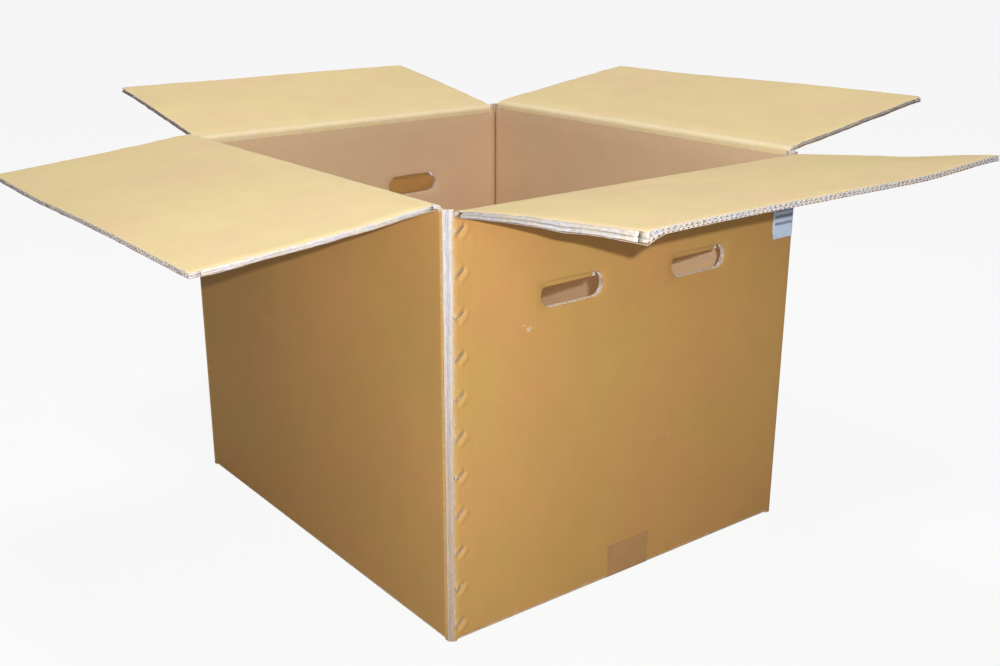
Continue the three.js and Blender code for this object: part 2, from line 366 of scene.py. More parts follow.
def torn_finish(name):
    """The crushed free end at the joint: white, blue grey and cream plies side by side"""
    f = Finish(name)
    across, along, _ = f.board()
    wander = f.noise(f.vector(across * 90, along * 9, 0.0), 1.0, 3.0)
    share = across * 100 + wander * 0.12
    stops = (
        (0.00, (0.55, 0.46, 0.38)),
        (0.22, (0.62, 0.58, 0.55)),
        (0.42, (0.48, 0.48, 0.52)),
        (0.60, (0.53, 0.53, 0.58)),
        (0.78, (0.62, 0.56, 0.47)),
        (1.00, (0.58, 0.43, 0.25)),
    )
    plies = f.add("ShaderNodeValToRGB", {"stops": stops}, {0: share})
    height = along * (1 / FULL_HEIGHT)
    faded = f.mix(height.rise(0.95, 0.25) * 0.7, plies, (0.47, 0.34, 0.21))
    streaks = f.noise(f.vector(across * 900, along * 40, 0.0), 1.0, 3.0, 0.65)
    fluff = f.noise(f.place, 300.0, 3.0, 0.7)
    body = f.shade(faded, 1 + streaks * 0.35 + fluff * 0.2)
    return f.finish(
        Base_Color=body,
        Roughness=0.88 + fluff * 0.08,
        Normal=f.bump(streaks * 0.8 + fluff * 0.8, 0.8, 0.0008),
        Specular_IOR_Level=0.2,
    )


def wire_finish(name, base):
    """Flat stitching wire, drawn lengthwise and a little tarnished"""
    f = Finish(name)
    drawn = f.noise(f.place, 900.0, 2.0)
    tarnish = f.noise(f.place, 260.0, 3.0).rise(0.0, 0.7)
    tone = f.mix(tarnish * 0.6, base, (0.36, 0.27, 0.17))
    return f.finish(
        Base_Color=tone,
        Metallic=0.9 - tarnish * 0.4,
        Roughness=0.32 + drawn * 0.08 + tarnish * 0.25,
        Normal=f.bump(drawn, 0.3, 0.0001),
    )


def tape_finish(name, base):
    """Brown film, with long wrinkles and small bubbles caught under it"""
    f = Finish(name)
    across, along, wear = f.board()
    wrinkles = f.noise(f.vector(across * 45, along * 11, 0.0), 1.0, 3.0, 0.55)
    bubbles = f.noise(f.place, 210.0, 2.0).rise(0.18, 0.5)
    tone = 1 + wrinkles * 0.10 + bubbles * 0.10 + f.noise(f.place, 30.0, 3.0) * 0.12
    return f.finish(
        Base_Color=f.shade(f.mix(wear * 0.4, base, (0.42, 0.27, 0.11)), tone),
        Roughness=0.40 + bubbles * 0.15 + wrinkles * 0.06,
        Normal=f.bump(wrinkles * 0.8 + bubbles * 0.5, 0.5, 0.0005),
        Specular_IOR_Level=0.45,
    )


def label_finish(name, base, sizes):
    """Label paper with three plain ruled bars, faded and slightly wrinkled"""
    f = Finish(name)
    across, along, _ = f.board()
    share = along * (1 / sizes.label_height)
    fade = f.noise(f.vector(across * 300, along * 900, 0.0), 1.0, 2.0).rise(-0.7, 0.1)
    column = across.rise(0.004, 0.0046) * across.rise(0.0405, 0.0399)
    bars = None
    for middle, thickness in ((0.74, 0.055), (0.56, 0.035), (0.38, 0.035)):
        off = (share - middle).absolute()
        bar = off.rise(thickness + 0.008, thickness)
        bars = bar if bars is None else bars.math("MAXIMUM", bar)
    ink = bars * column * fade
    mottle = f.noise(f.place, 90.0, 3.0)
    paper = f.shade(base, 1 + mottle * 0.08)
    return f.finish(
        Base_Color=f.mix(ink * 0.8, paper, (0.14, 0.17, 0.24)),
        Roughness=0.5 + mottle * 0.08,
        Normal=f.bump(mottle + f.noise(f.place, 25.0, 2.0), 0.4, 0.0004),
    )


SCUFFS = (
    ((-0.1788, -0.340, 0.3867), (0.006, 0.02, 0.005), 0.0, 0.9),
    ((-0.186, -0.340, 0.392), (0.008, 0.02, 0.002), 0.0, 0.6),
    ((0.06, -0.340, 0.19), (0.05, 0.02, 0.004), 0.0, 0.25),
    ((-0.30, 0.12, 0.31), (0.02, 0.06, 0.003), 0.0, 0.25),
)
RUBS = (
    ((-0.399, 0.072, 0.545), (0.060, 0.006, 0.03), 0.5, 0.5),
    ((-0.378, -0.003, 0.547), (0.045, 0.005, 0.03), 0.7, 0.45),
    ((0.15, -0.47, 0.56), (0.09, 0.006, 0.04), 0.1, 0.3),
)


def finish(name):
    """One of the box's materials, made when it is first asked for"""
    material = bpy.data.materials.get(name)
    if material is not None:
        return material
    tones = bpy.context.scene.box_colours
    board = bpy.context.scene.board_sizes
    outside, inside, pulp = (tuple(c) for c in (tones.outside, tones.inside, tones.pulp))
    if name == "brown liner":
        return liner_finish(name, outside, (0.525, 0.272, 0.092), SCUFFS, board)
    if name == "straw liner":
        return liner_finish(name, inside, (0.80, 0.60, 0.335), RUBS, board)
    # Same paper as the straw liner, painted darker and redder as the shade inside the box: walls, floor
    # and front tongues
    if name == "tan liner":
        base = tuple(tones.walls_inside_painted_shade)
        return liner_finish(name, base, (0.705, 0.492, 0.318), (), board)
    if name == "pulp":
        return pulp_finish(name, pulp)
    if name == "torn plies":
        return torn_finish(name)
    if name == "stitching wire":
        return wire_finish(name, tuple(tones.wire))
    if name == "tape film":
        return tape_finish(name, tuple(tones.tape))
    if name == "label paper":
        return label_finish(name, tuple(tones.label), bpy.context.scene.trim_sizes)
    raise RuntimeError(f"there is no finish named {name}")


def ease(share):
    share = min(max(share, 0.0), 1.0)
    return share * share * (3 - 2 * share)


def close(distance, reach):
    """1 at no distance, 0 at reach, smooth between"""
    return 1 - ease(distance / reach)


def drift(seed, at, scale):
    """A smooth random line, mostly within 0.5 either way"""
    return noise.noise(Vector((at / scale, seed * 7.31, 0.37 * seed)))


def ripple(seed, x, y, scale):
    """A smooth random surface, mostly within 0.5 either way"""
    return noise.noise(Vector((x / scale, y / scale, seed * 5.17)))


def spread(start, end, step, fine=()):
    """Positions from start to end, about a step apart, with finer ones at both ends"""
    fine = [0.0, *fine]
    inner = fine[-1]
    span = end - start - 2 * inner
    count = max(1, round(span / step))
    low = [start + d for d in fine]
    middle = [start + inner + span * i / count for i in range(1, count)]
    high = [end - d for d in reversed(fine)]
    return low + middle + high


class Panel:
    """One wall with its flaps, in a frame of its own in which it faces +X"""

    def __init__(self, name, turn, reach, span, score, angle, major, start):
        self.name = name
        self.spin = Matrix.Rotation(math.radians(turn), 3, "Z")
        self.reach = reach
        self.span = span
        self.half = span / 2
        self.score = score
        self.angle = angle
        self.major = major
        self.start = start
        self.seed = ("front", "right", "back", "left").index(name) + 1

    def place(self, x, y, z):
        return self.spin @ Vector((x, y, z))

    def local(self, point):
        return self.spin.transposed() @ point

    def wall(self, depth, w, z):
        return self.place(self.reach - depth, w, z)

    def flap(self, u, w, v):
        """A point of the open top flap: u out from the fold, w along it, v above the outer face"""
        c, s = math.cos(self.angle), math.sin(self.angle)
        return self.place(self.reach + u * c - v * s, w, self.score + u * s + v * c)


def box_panels():
    """The panels in order round the box, anticlockwise from above, from the free end"""
    size = bpy.context.scene.box_sizes
    w, d = size.width, size.length
    high = size.score + size.board + size.gap
    return {
        "front": Panel("front", -90, d / 2, w, size.score, size.front_angle, False, w / 2),
        "right": Panel("right", 0, w / 2, d, high, size.right_angle, True, w + d / 2),
        "back": Panel("back", 90, d / 2, w, size.score, size.back_angle, False, 1.5 * w + d),
        "left": Panel("left", 180, w / 2, d, high, size.left_angle, True, 2 * w + 1.5 * d),
    }


def make_piece(bm, name, materials):
    """The object that a finished bmesh gives"""
    mesh = bpy.data.meshes.new(name)
    bm.to_mesh(mesh)
    bm.free()
    for material in materials:
        mesh.materials.append(finish(material))
    piece = bpy.data.objects.new(name, mesh)
    bpy.context.scene.collection.objects.link(piece)
    return piece


def soften(piece, width, degrees=30):
    """Rounds the sharp edges of a piece"""
    soft = piece.modifiers.new("Soft edge", "BEVEL")
    soft.width = width
    soft.segments = 2
    soft.limit_method = "ANGLE"
    soft.angle_limit = math.radians(degrees)


def rim_height(size):
    """Top of the posts, one board above the lower folds"""
    return size.score + size.board + size.gap


class Sheet:
    """Paper laid out as a grid and shaped by moving its points"""

    def __init__(self):
        self.bm = bmesh.new()
        self.board = self.bm.verts.layers.float_vector.new("board")

    def lay(self, columns, rows, place, material=0, flip=False):
        """place(column, row) gives a point and what the board attribute holds there"""
        across, up = len(columns) - 1, len(rows) - 1
        made = bmesh.ops.create_grid(self.bm, x_segments=across, y_segments=up, size=0.5)
        for vert in made["verts"]:
            column = columns[round((vert.co.x + 0.5) * across)]
            row = rows[round((vert.co.y + 0.5) * up)]
            vert.co, vert[self.board] = place(column, row)
        faces = list({face for vert in made["verts"] for face in vert.link_faces})
        for face in faces:
            face.material_index = material
            face.smooth = True
        if flip:
            bmesh.ops.reverse_faces(self.bm, faces=faces)
        return made["verts"]

    def object(self, name, materials, thickness, rim=0):
        piece = make_piece(self.bm, name, materials)
        shell = piece.modifiers.new("Thickness", "SOLIDIFY")
        shell.thickness = thickness
        shell.offset = 0
        shell.material_offset_rim = rim
        return piece


def bow(panel, w, z):
    """How far a wall stands in or out of true, nothing at its folds"""
    size = bpy.context.scene.box_sizes
    sides = ease((panel.half - abs(w)) / 0.12)
    ends = ease(z / 0.12) * ease((size.score - z) / 0.12)
    return WALL_BOW * sides * ends * ripple(panel.seed, w, z, 0.22)


def dimple(x, z):
    """How deep the board is pulled in round the stitches, at a point of the front panel"""
    depth = 0.0
    joint = bpy.context.scene.joint_sizes
    c, s = math.cos(joint.slant), math.sin(joint.slant)
    for i, (middle, height) in enumerate(stitch_places()):
        dx, dz = x - middle, z - height
        if abs(dx) > 0.02 or abs(dz) > 0.024:
            continue
        a, b = dx * c + dz * s, -dx * s + dz * c
        ends = 1 - ease((abs(a) - 0.0055) / 0.005)
        groove = math.exp(-((b / 0.0027) ** 2))
        pucker = math.exp(-(((abs(b) - 0.0062) / 0.0030) ** 2))
        depth += joint.sink * (1.15 + 0.4 * drift(50 + i, a, 0.004)) * groove * ends
        depth -= 0.0012 * pucker * ends * (1 + 1.3 * drift(60 + i, a + b, 0.006))
    return depth


def stitch_places():
    size = bpy.context.scene.box_sizes
    joint = bpy.context.scene.joint_sizes
    top = size.score - 0.018
    count = len(STITCHES)
    places = []
    for i in range(count):
        height = joint.first + i * joint.pitch
        share = (height - joint.first) / (top - joint.first)
        inset = joint.inset_low + share * (joint.inset_high - joint.inset_low)
        places.append((-size.width / 2 + inset, height))
    return places


def torn_width(z):
    """Width of the crushed free end at a height"""
    size = bpy.context.scene.box_sizes
    joint = bpy.context.scene.joint_sizes
    share = z / (size.score + size.board)
    width = joint.edge_bottom + share * (joint.edge_top - joint.edge_bottom)
    return width + 0.0012 * drift(5, z, 0.035) + 0.0005 * drift(6, z, 0.008)


def tab_limits(x):
    """Bottom and top of the joint tab, whose ends are cut at a slope"""
    size = bpy.context.scene.box_sizes
    joint = bpy.context.scene.joint_sizes
    inner = -size.width / 2 + size.board
    share = (x - inner) / (joint.tab - size.board)
    back = joint.setback + joint.slope * max(share, 0.0)
    low = 2 * size.board + 2 * size.gap + back
    high = size.score - size.board - size.gap - back
    return low, high


def in_post(panel, w):
    """Whether a place along a wall is in the post between two slots"""
    size = bpy.context.scene.box_sizes
    return abs(w) > panel.half - size.inset + size.slot - 0.0002


def wall_columns(depth, rounded):
    """Places round the walls at one depth: (panel or None on the tab, w, point, across)"""
    size = bpy.context.scene.box_sizes
    joint = bpy.context.scene.joint_sizes
    r, inset = size.crease, size.inset
    tab_face = size.length / 2 - size.board - size.gap
    columns = []
    for panel in box_panels().values():
        ends = [-panel.half, panel.half]
        if panel.name == "front":
            ends[0] += joint.edge_top * 4 + 0.006
        elif rounded:
            ends[0] += r
        corner = panel.half if panel.name != "left" else tab_face
        ends[1] = corner - r if rounded else corner
        low, high = ends
        posts = [
            panel.half - inset + size.slot,
            panel.half - inset + size.slot * 0.2,
            panel.half - inset - 0.006,
            panel.half - inset - 0.016,
        ]
        middle = spread(-posts[-1], posts[-1], SHEET_STEP)
        stops = sorted({*middle, *posts, *(-p for p in posts), low, high})
        if not rounded:
            near = (0.002, 0.004, 0.007)
            stops += [side * (panel.half - d) for side in (-1, 1) for d in near]
        stops = sorted(w for w in stops if low <= w <= high)
        for w in stops:
            away = panel.half - abs(w)
            if rounded:
                point = panel.wall(depth, w, 0)
            else:
                end = panel.half
                if panel.name == "left" and w > 0:
                    away, end = corner - w, corner
                press = CORNER_PRESS * close(away, 0.010)
                scale = (end - depth + CORNER_PRESS) / end
                point = panel.wall(depth - press, w * scale, 0)
            columns.append((panel, w, point, panel.start + w))
        if not rounded:
            continue
        for i in range(1, 90 // ARC_STEP + 1):
            turn = math.radians(ARC_STEP * i)
            x = panel.reach - r + (r - depth) * math.cos(turn)
            y = corner - r + (r - depth) * math.sin(turn)
            across = panel.start + corner + i * 0.001
            columns.append((panel, panel.half, panel.place(x, y, 0), across))
    left = box_panels()["left"]
    start = -size.width / 2
    begin = start + (r if rounded else depth - CORNER_PRESS)
    stops = [start + size.board - 0.0004, start + size.board]
    stops += spread(start + size.board + 0.003, start + joint.tab, 0.006, (0.0006,))
    for x in stops:
        if x <= begin + 0.0005:
            continue
        press = 0.0 if rounded else CORNER_PRESS * close(x - begin, 0.010)
        point = Vector((x, -tab_face + depth - press, 0))
        columns.append((None, x, point, left.start + tab_face + x - start))
    return columns


def place_wall(limits, side):
    """Turns a column and a share of the height into a point of the wall"""

    def place(column, share):
        panel, w, plan, across = column
        low, high = limits(panel, w)
        z = low + share * (high - low)
        if panel is None:
            return Vector((plan.x, plan.y, z)), Vector((across, z, 0.0))
        out = bow(panel, w, z)
        press = side * 0.0012 * close(high - z, 0.016) * (0 if in_post(panel, w) else 1)
        point = plan + panel.spin @ Vector((out + press, 0, 0))
        edge = panel.half - abs(w)
        wear = max(0.55 * close(edge, 0.007), 0.6 * close(high - z, 0.006))
        if in_post(panel, w):
            wear = max(wear, 0.8 * close(high - z, 0.010), 0.7 * close(z - low, 0.012))
            z += 0.0007 * drift(9, across, 0.004) * share
        else:
            wear = max(wear, 0.5 * close(z - low, 0.010))
        return Vector((point.x, point.y, z)), Vector((across, z, wear))

    return place


def hand_holes():
    board = bpy.context.scene.board_sizes
    size = bpy.context.scene.box_sizes
    panels = box_panels()
    for name in ("front", "back"):
        for side in (-1, 1):
            yield panels[name], side * board.hole_spacing / 2, size.score - board.hole_drop


def cut_hand_hole(sheet, panel, depth, w0, z0, grow):
    """Takes out the grid round a hand hole and joins a round ended ring in its place"""
    board = bpy.context.scene.board_sizes
    bm = sheet.bm
    half, high = board.hole_length / 2, board.hole_height / 2

    def inside(point, margin):
        p = panel.local(point)
        flat = abs(p.x - panel.reach) < 0.02
        return flat and abs(p.y - w0) < half + margin and abs(p.z - z0) < high + margin

    out = [f for f in bm.faces if inside(f.calc_center_median(), 0.010)]
    flipped = out[0].normal.dot(panel.place(1, 0, 0)) < 0
    bmesh.ops.delete(bm, geom=out, context="FACES")
    loop = [
        e
        for e in bm.edges
        if e.is_boundary and all(inside(v.co, 0.026) for v in e.verts)
    ]
    for i, margin in enumerate((0.0009, 0.0)):
        radius = high + grow + margin
        made = bmesh.ops.create_circle(bm, cap_ends=False, radius=radius, segments=48)
        ring = list({e for v in made["verts"] for e in v.link_edges})
        straight = half - high
        for vert in made["verts"]:
            side = 1 if vert.co.x > 0 else -1
            flat = abs(vert.co.x) < 1e-6
            x = vert.co.x + (0 if flat else side * straight)
            vert.co = (x, vert.co.y, 0)
        long = [e for e in ring if e.calc_length() > straight / 2]
        bmesh.ops.bisect_edges(bm, edges=long, cuts=4)
        verts = {v for v in bm.verts if not v.link_faces}
        for vert in verts:
            w, z = w0 + vert.co.x, z0 + vert.co.y
            rough = 0.0005 * ripple(21 + i, w, z, 0.006)
            press = 0.0006 if i else 0.0001
            into = depth + press * (1 if grow >= 0 else -1)
            vert.co = panel.wall(into - bow(panel, w, z), w, z + rough)
            vert[sheet.board] = Vector((panel.start + w, z, 0.75 if i else 0.35))
        ring = list({e for v in verts for e in v.link_edges if e.other_vert(v) in verts})
        faces = bmesh.ops.bridge_loops(bm, edges=loop + ring)["faces"]
        bmesh.ops.recalc_face_normals(bm, faces=faces)
        for face in faces:
            face.smooth = True
            if (face.normal.dot(panel.place(1, 0, 0)) < 0) != flipped:
                face.normal_flip()
        loop = ring


def ride_and_stand_for(piece, body, *nodes, slot="kraft_outside"):
    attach(piece, body)
    if nodes:
        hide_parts(*nodes)
    return piece


class BOX_OT_outer_walls(bpy.types.Operator):
    """Lays the brown outer liner round the four walls and on to the joint tab"""

    bl_idname = "box.outer_walls"
    bl_label = "Outer liner of the walls"

    def execute(self, context):
        size, board = context.scene.box_sizes, context.scene.board_sizes
        depth = board.paper / 2
        top = rim_height(size)

        def limits(panel, w):
            if panel is None:
                if w < -size.width / 2 + size.board - 0.0002:
                    return 0.0, top
                return tab_limits(w)
            if in_post(panel, w):
                return 0.0, top
            return size.crease, panel.score - 0.003

        sheet = Sheet()
        columns = wall_columns(depth, True)
        rows = spread(0, 1, SHEET_STEP / top, WALL_ENDS)
        sheet.lay(columns, rows, place_wall(limits, 0))
        for panel, w, z in hand_holes():
            cut_hand_hole(sheet, panel, depth, w, z, 0.0)
        self.lay_joint(sheet, size, top, depth)
        self.join_strip(sheet, size)
        piece = sheet.object("walls_outer_liner", ["brown liner", "pulp"], board.paper, 1)
        ride_and_stand_for(piece, "box", "box_body")
        return {"FINISHED"}

    def lay_joint(self, sheet, size, top, depth):
        """The strip that the stitches pull in, from the torn edge to the plain wall"""
        front = box_panels()["front"]
        end = -size.width / 2 + bpy.context.scene.joint_sizes.edge_top * 4
        columns = spread(0, 1, 0.042, (0.012, 0.03))
        rows = spread(0, 1, 0.0025 / top)

        def place(share, up):
            z = size.crease + up * (size.score - 0.003 - size.crease)
            start = -size.width / 2 + torn_width(z)
            x = start + share * (end - start)
            if x < -size.width / 2 + size.inset - size.slot + 0.0002:
                z = up * top
            dent = dimple(x, z)
            pulled = dent + 0.0012 * close(x - start, 0.005)
            pulled += 0.0006 * ripple(31, x, z, 0.03) * ease((end - x) / 0.012)
            wear = 0.95 * close(x - start, 0.004) + 0.4 * min(abs(dent) / 0.002, 1)
            point = Vector((x, -size.length / 2 + depth + pulled, z))
            return point, Vector((front.start + x, z, wear))

        sheet.lay(columns, rows, place)

    def join_strip(self, sheet, size):
        """Closes the gap that is left between the stitched strip and the plain wall"""
        start = -size.width / 2 + bpy.context.scene.joint_sizes.edge_top * 4
        edges = []
        for edge in sheet.bm.edges:
            middle = (edge.verts[0].co + edge.verts[1].co) / 2
            upright = abs(edge.verts[0].co.x - edge.verts[1].co.x) < 1e-5
            beside = start - 0.001 < middle.x < start + 0.007
            outside = middle.y < -size.length / 2 + 0.01
            if edge.is_boundary and upright and beside and outside:
                edges.append(edge)
        faces = bmesh.ops.bridge_loops(sheet.bm, edges=edges)["faces"]
        for face in faces:
            face.smooth = True
            if face.normal.y > 0:
                face.normal_flip()


class BOX_OT_inner_walls(bpy.types.Operator):
    """Lays the straw inner liner round the inside of the walls and the joint tab"""

    bl_idname = "box.inner_walls"
    bl_label = "Inner liner of the walls"

    def execute(self, context):
        size, board = context.scene.box_sizes, context.scene.board_sizes
        depth = size.board - board.paper / 2
        top = rim_height(size)
        layer = size.board + size.gap

        def limits(panel, w):
            if panel is None:
                if w < -size.width / 2 + size.board - 0.0002:
                    return 0.0, top
                return tab_limits(w)
            if in_post(panel, w):
                return 0.0, top
            floor = size.board if panel.major else layer + size.board
            return floor - 0.0006, panel.score - size.board

        sheet = Sheet()
        columns = wall_columns(depth, False)
        rows = spread(0, 1, SHEET_STEP / top, WALL_ENDS)
        sheet.lay(columns, rows, place_wall(limits, 1), flip=True)
        for panel, w, z in hand_holes():
            cut_hand_hole(sheet, panel, depth, w, z, -0.0002)
        # The inner liner takes the shaded straw liner: straw paper painted darker and redder as the
        # shade inside the box
        piece = sheet.object("walls_inner_liner", ["tan liner", "pulp"], board.paper, 1)
        ride_and_stand_for(piece, "box", "box_body", slot="kraft_inside")
        return {"FINISHED"}


def flute(across, kind):
    """Depth of a flute paper below the outside, as it waves between two liners"""
    board = bpy.context.scene.board_sizes
    size = bpy.context.scene.box_sizes
    paper = board.paper
    if kind == "outer":
        low, high, pitch = paper * 1.4, board.middle - paper, board.outer_pitch
    else:
        low, high, pitch = board.middle + paper, size.board - paper * 1.4, board.inner_pitch
    wave = math.sin(math.tau * across / pitch + 0.35 * drift(71, across, 0.05))
    wave = math.copysign(abs(wave) ** 0.8, wave)
    return (low + high) / 2 + (high - low) / 2 * wave


def ply_depth(kind, across):
    board = bpy.context.scene.board_sizes
    if kind == "middle":
        return board.middle
    return flute(across, kind)


PLIES = ("outer", "middle", "inner")


def waves(start, end, kind):
    """Places across the flutes, eight to a wave, or wider for the flat middle liner"""
    board = bpy.context.scene.board_sizes
    pitch = {"outer": board.outer_pitch, "inner": board.inner_pitch}.get(kind, 0.04)
    return spread(start, end, pitch / 8, (0.0003,))


class BOX_OT_wall_plies(bpy.types.Operator):
    """Shows the flutes where the walls are cut: hand holes, corner posts and the tab's end"""

    bl_idname = "box.wall_plies"
    bl_label = "Plies in the cut walls"

    def execute(self, context):
        board = context.scene.board_sizes
        sheet = Sheet()
        for panel, w, z in hand_holes():
            self.line_hole(sheet, board, panel, w, z)
        self.fill_posts(sheet, context.scene.box_sizes)
        self.fill_tab(sheet, context.scene.box_sizes, context.scene.joint_sizes)
        piece = sheet.object("walls_flutes", ["pulp"], board.paper)
        ride_and_stand_for(piece, "box", "box_body")
        return {"FINISHED"}

    def line_hole(self, sheet, board, panel, w0, z0):
        half, r = board.hole_length / 2, board.hole_height / 2

        def edge(x):
            over = max(abs(x) - (half - r), 0.0)
            return math.sqrt(max(r * r - over * over, 0.0))

        for kind in PLIES:
            for side in (-1, 1):

                def place(x, back):
                    w = w0 + x
                    rough = 0.0006 * drift(80 + side, x, 0.004)
                    z = z0 + side * (edge(x) + 0.0006 + rough + back)
                    depth = ply_depth(kind, panel.start + w) - bow(panel, w, z)
                    return panel.wall(depth, w, z), Vector((panel.start + w, z, 1.0))

                columns = waves(-half - 0.004, half + 0.004, kind)
                sheet.lay(columns, [0.0, 0.0004, 0.012], place)

    def fill_posts(self, sheet, size):
        top = rim_height(size)
        panels = list(box_panels().values())
        reach = size.inset - size.slot
        for first, second in zip(panels[:3], panels[1:]):
            for low, high in ((top - 0.014, top), (0.0, 0.014)):
                cut = [low, low + 0.0004, high - 0.0004, high]
                for kind in PLIES:

                    def place(step, z):
                        panel, w = second, step - second.half
                        if step < 0:
                            panel, w = first, first.half + step
                        across = panel.start + w
                        depth = ply_depth(kind, across)
                        press = close(panel.half - abs(w), 0.007)
                        depth *= 1 - 0.35 * press
                        scale = (panel.half - depth) / panel.half
                        rough = 0.0006 * drift(90, across, 0.003)
                        point = panel.wall(depth + 0.0006 * press, w * scale, z + rough)
                        return point, Vector((across, z, 1.0))

                    sheet.lay(waves(-reach, reach, kind), cut, place)

    def fill_tab(self, sheet, size, joint):
        """The tab's free edge, cut along the flutes and a little crushed"""
        left = box_panels()["left"]
        face = -size.length / 2 + size.board + size.gap
        end = -size.width / 2 + joint.tab
        for kind in PLIES:

            def place(step, up):
                x = end - step + 0.0006 * drift(97 + len(kind), up, 0.03)
                low, high = tab_limits(x)
                z = low + up * (high - low)
                across = left.start + left.half + joint.tab - step
                depth = ply_depth(kind, across) * (1 - 0.12 * close(step, 0.006))
                return Vector((x, face + depth, z)), Vector((across, z, 1.0))

            sheet.lay(waves(0, 0.013, kind), spread(0, 1, 0.02), place)


class BOX_OT_tongues(bpy.types.Operator):
    """Folds in the punched board that still hangs from the top of each hand hole"""

    bl_idname = "box.tongues"
    bl_label = "Hand hole tongues"

    def execute(self, context):
        size, board = context.scene.box_sizes, context.scene.board_sizes
        half, high = board.hole_length / 2, board.hole_height / 2
        thick = size.board * 0.86
        bm = bmesh.new()
        layer = bm.verts.layers.float_vector.new("board")
        for i, (panel, w0, z0) in enumerate(hand_holes()):
            inward = panel.name == "front"
            swing = math.radians((62 if inward else -6) + 5 * drift(140, i, 0.6))
            made = bmesh.ops.create_circle(bm, cap_ends=True, radius=high - 0.0005, segments=48)
            verts = made["verts"]
            for vert in verts:
                side = 0 if abs(vert.co.x) < 1e-6 else math.copysign(half - high, vert.co.x)
                vert.co.x += side
            face = next(iter({f for v in verts for f in v.link_faces}))
            raised = bmesh.ops.extrude_face_region(bm, geom=[face])
            back = [v for v in raised["geom"] if isinstance(v, bmesh.types.BMVert)]
            sides = {f for v in back for f in v.link_faces if len(f.verts) == 4}
            for face in sides:
                hinge = face.calc_center_median().y > 0.9 * high - 0.0005
                face.material_index = 0 if hinge else 2
            for vert in {*verts, *back}:
                depth = thick if vert in back else 0.0
                x, y = vert.co.x, vert.co.y
                if (vert in back) != inward:
                    y = min(y, high - 0.0055)
                rough = 0.0006 * drift(141 + i, x + y, 0.007)
                vert[layer] = Vector((panel.start + w0 + x, z0 + y, 0.1))
                drop = high - y + rough
                twist = swing + math.radians(6) * x / half
                pivot = size.board if inward else 0.0
                rest = depth + (size.board - thick) / 2 - pivot
                inset = pivot + rest * math.cos(twist) + drop * math.sin(twist)
                fall = drop * math.cos(twist) - rest * math.sin(twist)
                vert.co = panel.wall(inset, w0 + x, z0 + high - 0.0006 - fall)
        bmesh.ops.recalc_face_normals(bm, faces=bm.faces)
        panels = box_panels()
        for face in bm.faces:
            if len(face.verts) < 5:
                continue
            near = face.calc_center_median().y < 0
            panel = panels["front" if near else "back"]
            outward = face.normal.dot(panel.place(1, 0, -0.2)) > 0
            # Front tongues: outer face brown liner, inner face the shaded straw liner with its painted
            # shade. Back tongues: both faces brown liner, which on the inner face is painted shade in
            # place of the inner liner.
            face.material_index = 1 if near and not outward else 0
        piece = make_piece(bm, "hand_hole_tongues", ("brown liner", "tan liner", "pulp"))
        soften(piece, ROUGH)
        ride_and_stand_for(piece, "box", "box_body")
        return {"FINISHED"}


class BOX_OT_torn_edge(bpy.types.Operator):
    """Models the crushed, torn free end of the front panel at the stitched corner"""

    bl_idname = "box.torn_edge"
    bl_label = "Torn edge at the joint"

    def execute(self, context):
        size, board = context.scene.box_sizes, context.scene.board_sizes
        top = rim_height(size)
        corner = Vector((-size.width / 2, -size.length / 2, 0))
        inner = corner + Vector((0.0004, size.board, 0))
        ridges = ((0.10, 0.5), (0.27, -0.9), (0.45, 0.9), (0.63, -1.0), (0.80, 0.5), (0.95, 0.7))
        columns = [i / 24 for i in range(25)] + [1.2, 1.5, 1.9]
        rows = spread(0, top, 0.005, (0.0004,))

        def place(share, z):
            wide = torn_width(z)
            outer = corner + Vector((wide, board.paper * 0.5 + 0.0010, 0))
            if share > 1:
                deep = (share - 1) / 0.9
                x = corner.x + wide + 0.0015
                y = corner.y + 0.0016 + (size.board - 0.002) * deep
                return Vector((x, y, z)), Vector((0.010, z, 1.0))
            point = inner.lerp(outer, share)
            slope = (outer - inner).normalized()
            normal = Vector((-slope.y, slope.x, 0))
            if normal.y > 0:
                normal = -normal
            moved = share + 0.07 * drift(41, z, 0.06) + 0.03 * drift(42, z, 0.013)
            lift = 0.0
            for at, rise in ridges:
                lift += rise * math.exp(-(((moved - at) / 0.065) ** 2))
            lift *= 0.0008 * (1 + 0.7 * drift(43 + round(share * 6), z, 0.02))
            lift += 0.0009 * math.sin(math.pi * share)
            lift *= 1 if 0 < share < 1 else 0.3
            point = point + normal * lift
            return Vector((point.x, point.y, z)), Vector((share * 0.010, z, 1.0))

        sheet = Sheet()
        sheet.lay(columns, rows, place)
        piece = sheet.object("torn_edge", ["torn plies", "pulp"], board.paper, 0)
        ride_and_stand_for(piece, "box", "box_body")
        return {"FINISHED"}


